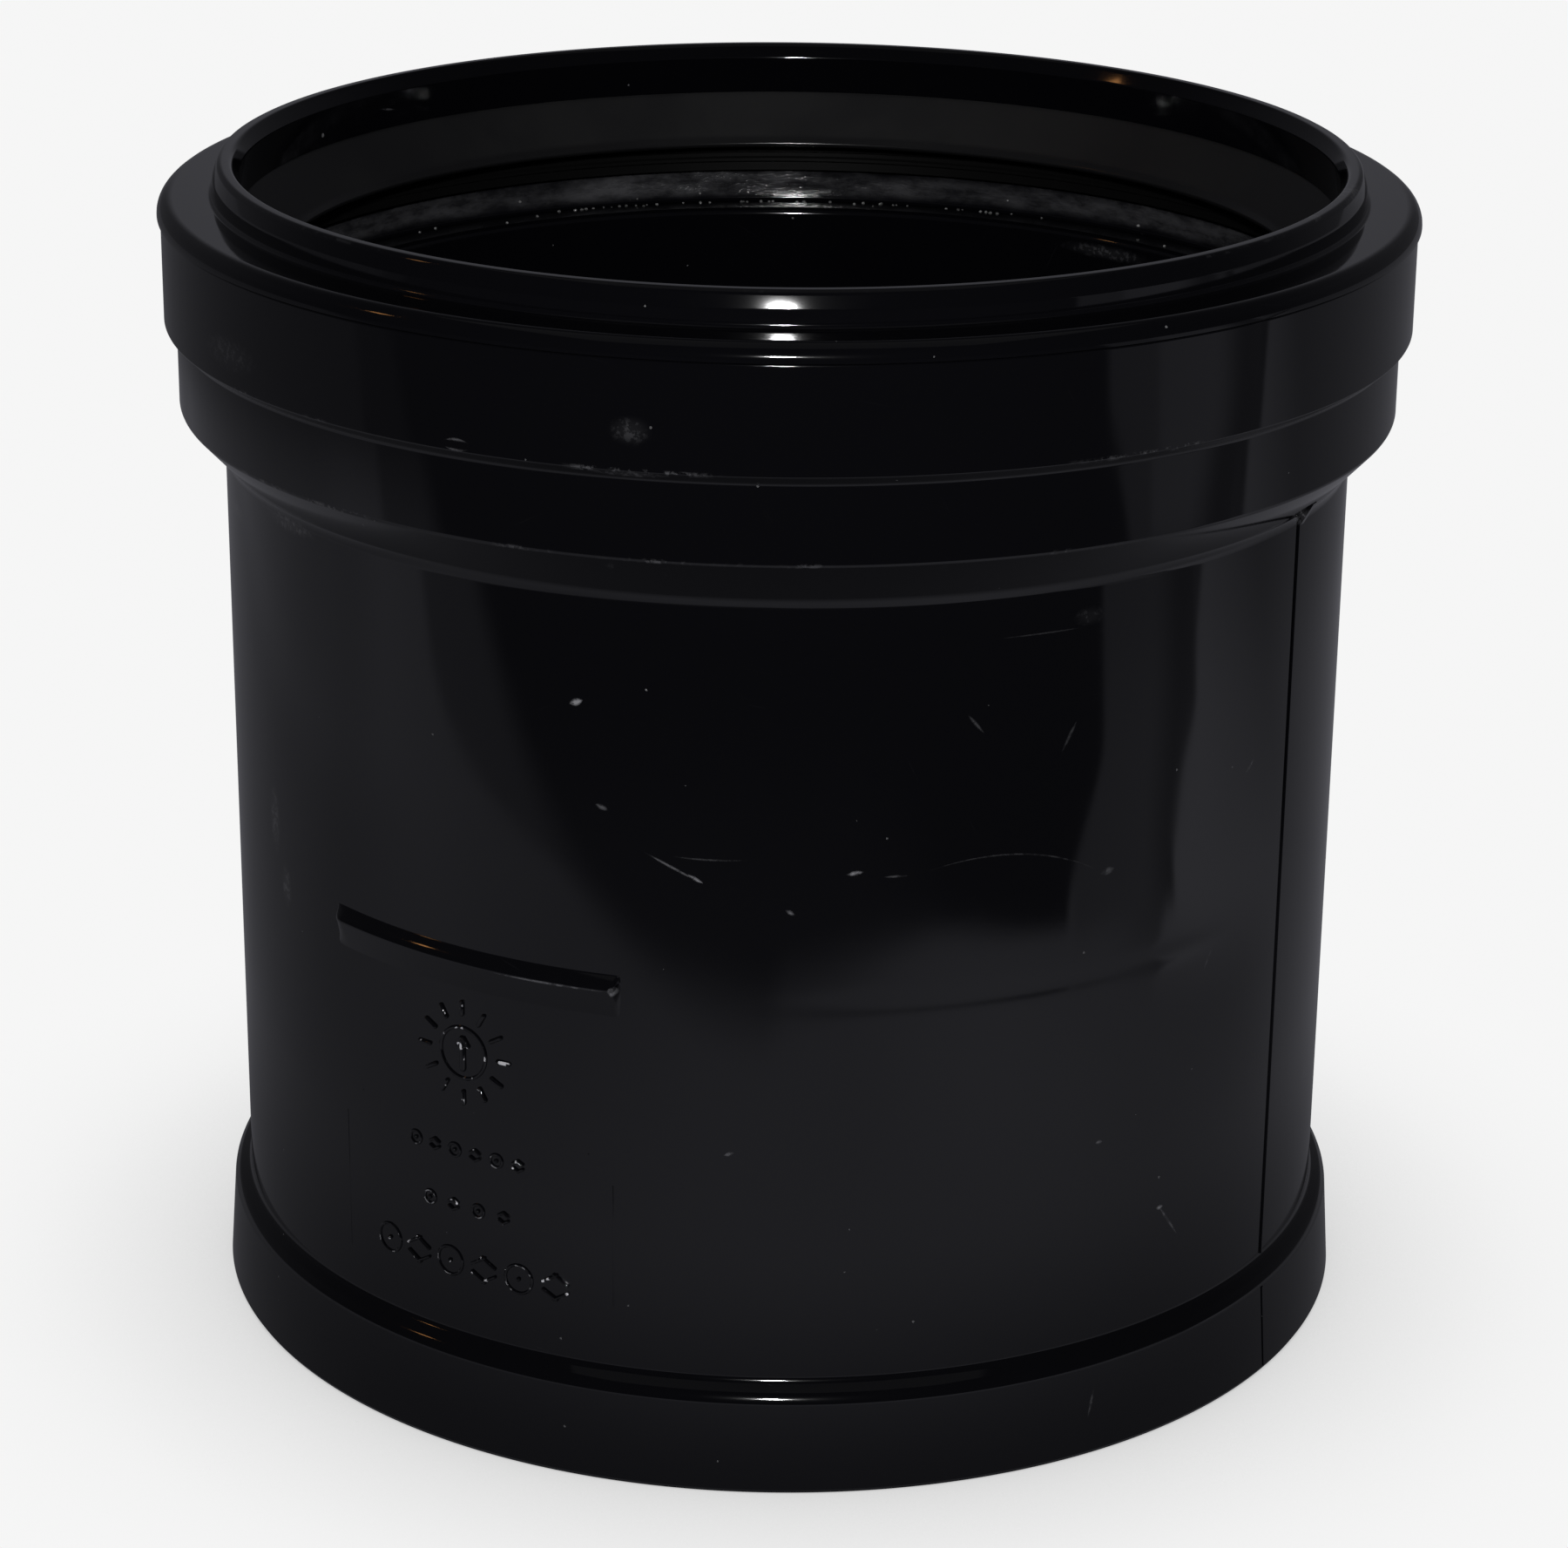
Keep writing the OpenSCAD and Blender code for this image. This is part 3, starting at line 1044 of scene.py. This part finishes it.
def sink_mark(around, height):
    """Depth in mm of the faint sink over the stop ridge, on the side away from the rib."""
    middle = (plan().stop_z + plan().stop_h / 2) / MM
    off = (height - middle) / 1.1
    dip = maths("POWER", 2.718, off * off * -1)
    start, end = ramp(around, -4.0, 16.0), ramp(around, 52.0, 40.0)
    return start * end * (dip * 0.04)


def grease_film(tree, place_of):
    """The film of grease on the groove's wall: its mask and its lumps in mm."""
    at = plan()
    low, high = at.ledge_z / MM + 0.7, at.ledge_z / MM + 3.7
    where = object_place(tree)
    drawn = add(tree, "VectorMath", where, (1.0, 1.0, 3.0), operation="MULTIPLY").outputs[0]
    streaks = noise(tree, drawn, 190.0, 5.0, 0.7)
    ragged = (noise(tree, where, 110.0, 4.0, 0.7) - 0.5) * 2.6
    upper = high - place_of["Height"] + ragged
    lower = place_of["Height"] - low - ragged * 0.3
    inside = ramp(upper, -0.3, 1.5) * ramp(lower, -0.5, 0.6)
    outwards = ramp(place_of["Radius"], at.groove_r / MM - 1.2, at.groove_r / MM - 0.4)
    within = maths("LESS_THAN", place_of["Radius"], at.groove_r / MM + 0.6)
    thick = ramp(place_of["Around"], -178.0, -167.0) * ramp(place_of["Around"], -152.0, -163.0)
    thin = ramp(streaks, 0.32, 0.68, 0.15, 0.72) * (1 + thick * 0.5)
    smear = maths("MULTIPLY", inside * outwards, within * thin, clamp=True)
    return smear, streaks * 0.12


def seal_rubber():
    """Satin rubber: a bloomed lip with a glossy tip, and a glossier heel under the lip, darkened as
    painted shade.
    """
    finish = bpy.context.scene.barrel_finish
    cap = bpy.context.scene.barrel_cap
    lip_foot = (plan().rim_z - cap.lip_drop) / MM
    tip_r = (plan().bore_r - cap.lip_in) / MM
    material, tree, shader = new_material("seal_rubber")
    where = object_place(tree)
    place_of = use(tree, "Round place")
    bloom = ramp(noise(tree, where, 55.0, 4.0, 0.6), 0.32, 0.68)
    grain = noise(tree, where, 1900.0, 2.0, 0.5)
    dust = use(tree, "Specks", spacing=9.0, size=0.03, share=0.4)["Mask"]
    height, radius = place_of["Height"], place_of["Radius"]
    heel = ramp(height, lip_foot + 2.0, lip_foot - 0.2) * ramp(radius, tip_r + 1.6, tip_r + 2.4)
    tip = ramp(radius, tip_r + 0.9, tip_r + 0.4)
    base = blend(bloom * 0.5, rgba(finish.rubber), grey(0.0105))
    base = blend(dust * 0.5, base, rgba(finish.dust))
    # Painted shade: the heel under the lip is drawn much darker than the rest of the rubber.
    base = blend(heel, base, grey(0.003))
    rough = ramp(bloom, 0.0, 1.0, 0.42, 0.5)
    rough = between(tip, rough, 0.2)
    rough = between(heel, rough, 0.26)
    feed(shader.inputs["Base Color"], base)
    feed(shader.inputs["Roughness"], rough)
    shader.inputs["IOR"].default_value = 1.42
    bump(tree, shader, grain * 0.003)
    return material


def grease_and_painted_sparkle():
    """Slightly cloudy beads of grease and water, whose pale grey is partly painted highlight."""
    material, tree, shader = new_material("grease_and_painted_sparkle")
    where = object_place(tree)
    cloudy = noise(tree, where, 300.0, 2.0, 0.5)
    # The grey is partly the grease's cloudiness and partly a painted highlight standing in for the
    # beads' sparkle.
    tint = blend(ramp(cloudy, 0.35, 0.65), grey(0.06), grey(0.2))
    feed(shader.inputs["Base Color"], tint)
    feed(shader.inputs["Roughness"], ramp(cloudy, 0.3, 0.7, 0.05, 0.12))
    shader.inputs["IOR"].default_value = 1.4
    return material


def give(piece, material):
    """Makes a material the only one on a piece."""
    piece.data.materials.clear()
    piece.data.materials.append(material)


# ------------------------------------------------------------------ stage

CAMERA_AT = (0.0, -457.4 * MM, 221.0 * MM)
CAMERA_DOWN = radians(20.12)
CAMERA_ROLL = radians(0.56)
LENS = 104.7


def add_camera():
    """A camera that looks down at the barrel's front, rolled by a little."""
    start_clean()
    bpy.ops.object.camera_add(location=CAMERA_AT)
    camera = bpy.context.object
    tilt = Matrix.Rotation(pi / 2 - CAMERA_DOWN, 4, "X") @ Matrix.Rotation(CAMERA_ROLL, 4, "Z")
    camera.rotation_euler = tilt.to_euler()
    camera.data.lens = LENS
    camera.data.sensor_width = 36
    camera.data.clip_start = 0.01
    bpy.context.scene.camera = camera


def add_lamp(name, location, target, size, power, tint=(1, 1, 1)):
    """A rectangular lamp that faces a target; size is its width and height."""
    start_clean()
    bpy.ops.object.light_add(type="AREA", location=location)
    lamp = bpy.context.object
    lamp.name = name
    lamp.data.shape = "RECTANGLE"
    lamp.data.size, lamp.data.size_y = size
    lamp.data.energy = power
    lamp.data.color = tint
    towards = Vector(target) - Vector(location)
    lamp.rotation_euler = towards.to_track_quat("-Z", "Y").to_euler()


def seen_or_lit(tree, seen, lit):
    """A shader that the camera sees as one colour and that lights the barrel as another."""
    path = add(tree, "LightPath").outputs["Is Camera Ray"]
    eye, lamp = add(tree, "Emission", seen), add(tree, "Emission", lit)
    return add(tree, "MixShader", path, lamp.outputs[0], eye.outputs[0]).outputs[0]


def floor_places(tree):
    """The floor's own coordinates in mm, with the distance and the direction from the barrel."""
    where = split(tree, object_place(tree))
    x, y = where["X"] * TO_MM, where["Y"] * TO_MM
    front = y * -1
    out = maths("SQRT", x * x + y * y)
    return x, y, out, maths("DEGREES", maths("ARCTAN2", x, front))


def lit_floor(tree, x, y, out, around):
    """How bright the lit floor shows in the barrel's gloss: brightest in front, with a window's
    light and a table's edge to the right. Places and distances are in mm, directions in degrees."""
    lit = ramp(y, 15.0, -95.0, 0.12, 0.215) + ramp(y, 90.0, 0.0, 0.0, 0.02)
    pool = distance(tree, (x - 24) / 90, (y + 138) / 65)
    lit = lit + ramp(pool, 1.7, 0.3, 0.0, 0.09)
    left = ramp(x, -195.0, -245.0) * ramp(y, -95.0, -40.0)
    lit = lit + left * 0.03
    right = ramp(x, 140.0, 185.0)
    across = y - x * 0.15
    beyond = ramp(across, -86.0, -78.0)
    window = beyond * ramp(y, 75.0, -45.0, 0.0, 0.13)
    shade = (1 - beyond) * ramp(across, -125.0, -96.0, 0.0, 0.09)
    lit = lit + right * (window - shade)
    ends = ramp(out, 179.0, 194.0)
    turned = around - ramp(out, 345.0, 460.0, 0.0, 5.0)
    past_start = turned - ramp(out, 190.0, 300.0, 72.0, 76.0)
    past_end = turned - ramp(out, 212.0, 265.0, 75.0, 82.2)
    before = ramp(past_end, 0.8, -0.8) * ends
    cloth = ramp(around, 50.0, 54.0) * before
    gap = ramp(out, 345.0, 370.0) * ramp(around, 63.5, 65.5)
    cloth = cloth * (1 - gap)
    strip = ramp(past_start, -5.0, 3.0) * before
    lit = between(cloth, lit, 0.165)
    lit = between(strip, lit, 0.085)
    far_left = ramp(x, 0.0, -80.0) * ramp(out, 350.0, 420.0)
    return between(far_left, lit, 0.075)


def floor_glow(tree):
    """What the barrel's gloss sees of the floor: a lit part, and a dim room beyond its edge."""
    x, y, out, around = floor_places(tree)
    lit = lit_floor(tree, x, y, out, around)
    lit = lit * ramp(out, 60.0, 112.0, 0.52, 1.0)
    lit = lit * ramp(x, 20.0, 120.0, 1.0, 1.28)
    lit = lit * ramp(x, -100.0, -230.0, 1.0, 1.15)
    far = ramp(x, 120.0, 180.0) * ramp(out, 240.0, 330.0)
    lit = between(far, lit, lit * 0.8)
    ahead = y * -1
    rounding = ramp(around, -6.0, 28.0, 179.0, 197.0) + ramp(around, 25.0, 50.0, 0.0, -7.0)
    past = between(ramp(x, -12.0, 6.0), ahead - 173, out - rounding)
    soft = ramp(around, -50.0, 45.0, 14.0, 5.0)
    soft = soft + ramp(maths("ABSOLUTE", x), 90.0, 20.0, 0.0, 9.0)
    beyond = ramp(past, soft * -1, soft)
    outer = ahead - ramp(x, -275.0, -95.0, 108.0, 176.0)
    outer = ramp(outer, -7.0, 5.0) * ramp(x, -40.0, -110.0, 0.0, 0.5)
    right = around - ramp(out, 188.0, 262.0, 51.0, 60.0)
    right = right + ramp(out, 345.0, 470.0, 0.0, 5.5)
    side = ramp(right, 0.9, -0.7)
    near = ramp(out, 290.0, 195.0) * ramp(x, 120.0, 40.0)
    deep = near * 0.025 + 0.038
    lit = between(outer, lit, deep)
    return between(beyond * side, lit, deep)


def floor_material():
    """A pale floor with a painted soft contact shadow for the eye, and a patterned glow for the
    gloss.
    From below it can be seen through."""
    finish = bpy.context.scene.barrel_finish
    material = bpy.data.materials.new("studio_floor")
    material.use_nodes = True
    tree = material.node_tree
    tree.nodes.clear()
    # Painted shadow: ambient occlusion darkens the floor's own colour near the barrel; no lamp casts
    # it.
    open_sky = add(tree, "AmbientOcclusion", samples=8)
    open_sky.inputs["Distance"].default_value = 45 * MM
    shade = ramp(Value(open_sky.outputs["AO"]), 0.25, 1.0)
    seen = blend(shade, grey(0.55), rgba(finish.floor))
    glow = floor_glow(tree) * 0.86
    bluer = glow * 1.12
    lit = add(tree, "CombineColor", glow, glow, bluer).outputs[0]
    above = seen_or_lit(tree, seen, lit)
    below = add(tree, "BsdfTransparent").outputs[0]
    under = add(tree, "NewGeometry").outputs["Backfacing"]
    surface = add(tree, "MixShader", under, above, below).outputs[0]
    tree.links.new(surface, add(tree, "OutputMaterial").inputs["Surface"])
    return material


def add_floor():
    """The floor plane, which isn't part of the barrel."""
    start_clean()
    bpy.ops.mesh.primitive_plane_add(size=8, location=(0, 0, 0))
    floor = bpy.context.object
    floor.name = "studio_floor"
    give(floor, floor_material())


def add_world():
    """A pale surround for the camera, and a dim room with a lighter back wall for reflections."""
    finish = bpy.context.scene.barrel_finish
    world = bpy.data.worlds.new("studio")
    bpy.context.scene.world = world
    world.use_nodes = True
    tree = world.node_tree
    tree.nodes.clear()
    way = split(tree, add(tree, "TexCoord").outputs["Generated"])
    behind = ramp(way["Y"], -0.1, 0.7)
    low = ramp(way["Z"], 0.75, 0.35)
    ahead = ramp(maths("ABSOLUTE", way["X"]), 0.35, 0.08, 0.03, 0.125)
    wall = behind * low * ahead
    lit = wall + 0.024
    lit = add(tree, "CombineColor", lit, lit, lit * 1.12).outputs[0]
    path = add(tree, "LightPath").outputs["Is Camera Ray"]
    eye = add(tree, "Background", rgba(finish.floor))
    room = add(tree, "Background", lit)
    mixed = add(tree, "MixShader", path, room.outputs[0], eye.outputs[0]).outputs[0]
    tree.links.new(mixed, add(tree, "OutputWorld").inputs["Surface"])


# ------------------------------------------------------------------ operators and panel


class BARREL_OT_effects(bpy.types.Operator):
    """Builds the wear, dust and ripple effects that the finishes share"""

    bl_idname = "barrel.effects"
    bl_label = "Shared effects"

    def execute(self, context):
        make_effects()
        return {"FINISHED"}


class BARREL_OT_shell(bpy.types.Operator):
    """Models the moulded shell with its marking rib, date dial and parting line"""

    bl_idname = "barrel.shell"
    bl_label = "Moulded shell"

    def execute(self, context):
        shell, corners = make_shell()
        give(shell, shell_plastic("shell_plastic", context.scene.barrel_finish.plastic, corners,
                                  SHELL_SCRATCHES_AND_CREST_HIGHLIGHT, SHELL_SCUFFS, greased=True))
        place(shell, "barrel", "shell_plastic", "barrel_body")
        return {"FINISHED"}


class BARREL_OT_seal(bpy.types.Operator):
    """Models the rubber lip seal"""

    bl_idname = "barrel.seal"
    bl_label = "Lip seal"

    def execute(self, context):
        seal = make_seal()
        give(seal, seal_rubber())
        place(seal, "barrel", "seal_rubber", "seal_ring")
        return {"FINISHED"}


class BARREL_OT_cap(bpy.types.Operator):
    """Models the snap-in cap round the mouth"""

    bl_idname = "barrel.cap"
    bl_label = "Snap cap"

    def execute(self, context):
        cap, corners = make_cap()
        black = context.scene.barrel_finish.plastic
        give(cap, shell_plastic("cap_plastic", black, corners, CAP_SCRATCHES, CAP_SCUFFS, edge=0.12))
        place(cap, "cap", "cap_plastic", "retaining_cap")
        return {"FINISHED"}


class BARREL_OT_plug(bpy.types.Operator):
    """Models the plug that closes the lower socket"""

    bl_idname = "barrel.plug"
    bl_label = "Base plug"

    def execute(self, context):
        plug, corners = make_plug()
        dark = context.scene.barrel_finish.plug
        give(plug, shell_plastic("plug_plastic", dark, corners, hairline=0.8))
        place(plug, "barrel", "plug_plastic", "base_plug")
        return {"FINISHED"}


class BARREL_OT_beads(bpy.types.Operator):
    """Scatters the beads of grease in the seal's groove"""

    bl_idname = "barrel.beads"
    bl_label = "Grease beads"

    def execute(self, context):
        beads = make_beads()
        give(beads, grease_and_painted_sparkle())
        place(beads, "barrel", None)
        return {"FINISHED"}


class BARREL_OT_stage(bpy.types.Operator):
    """Sets up the floor, the room, the lamps and the camera"""

    bl_idname = "barrel.stage"
    bl_label = "Studio stage"

    def execute(self, context):
        context.scene.view_settings.view_transform = "Standard"
        add_floor()
        add_world()
        mouth = (0, 0, 0.10)
        add_lamp("front_lamp", (-0.008, -0.462, 0.268), mouth, (0.026, 0.016), 1.6)
        add_lamp("warm_lamp", (-1.1, -0.05, 0.95), mouth, (0.08, 0.08), 0.13, (1, 0.45, 0.15))
        add_lamp("soft_top", (0, 0.1, 1.1), mouth, (0.9, 0.9), 0.15)
        add_camera()
        return {"FINISHED"}


class BARREL_PT_tools(bpy.types.Panel):
    """Lists the barrel's steps and sizes in the sidebar"""

    bl_idname = "BARREL_PT_tools"
    bl_label = "Tumbler Barrel"
    bl_space_type = "VIEW_3D"
    bl_region_type = "UI"
    bl_category = "Barrel"

    def draw(self, context):
        for step in STEPS:
            self.layout.operator(step.bl_idname)
        for name in SIZES:
            sizes = getattr(context.scene, name)
            box = self.layout.box()
            for field in sizes.__annotations__:
                box.prop(sizes, field)


STEPS = (BARREL_OT_effects, BARREL_OT_shell, BARREL_OT_seal, BARREL_OT_cap, BARREL_OT_plug,
         BARREL_OT_beads, BARREL_OT_stage)
SIZES = {"barrel_shell": BARREL_PG_shell, "barrel_cap": BARREL_PG_cap,
         "barrel_marks": BARREL_PG_marks, "barrel_finish": BARREL_PG_finish}
CLASSES = (*SIZES.values(), *STEPS, BARREL_PT_tools)


def register():
    for made in CLASSES:
        bpy.utils.register_class(made)
    for name, made in SIZES.items():
        setattr(bpy.types.Scene, name, PointerProperty(type=made))


def unregister():
    for name in SIZES:
        delattr(bpy.types.Scene, name)
    for made in reversed(CLASSES):
        bpy.utils.unregister_class(made)


def main():
    register()
    bpy.ops.barrel.effects()
    bpy.ops.barrel.shell()
    bpy.ops.barrel.seal()
    bpy.ops.barrel.cap()
    bpy.ops.barrel.plug()
    bpy.ops.barrel.beads()
    bpy.ops.barrel.stage()


if __name__ == "__main__":
    main()
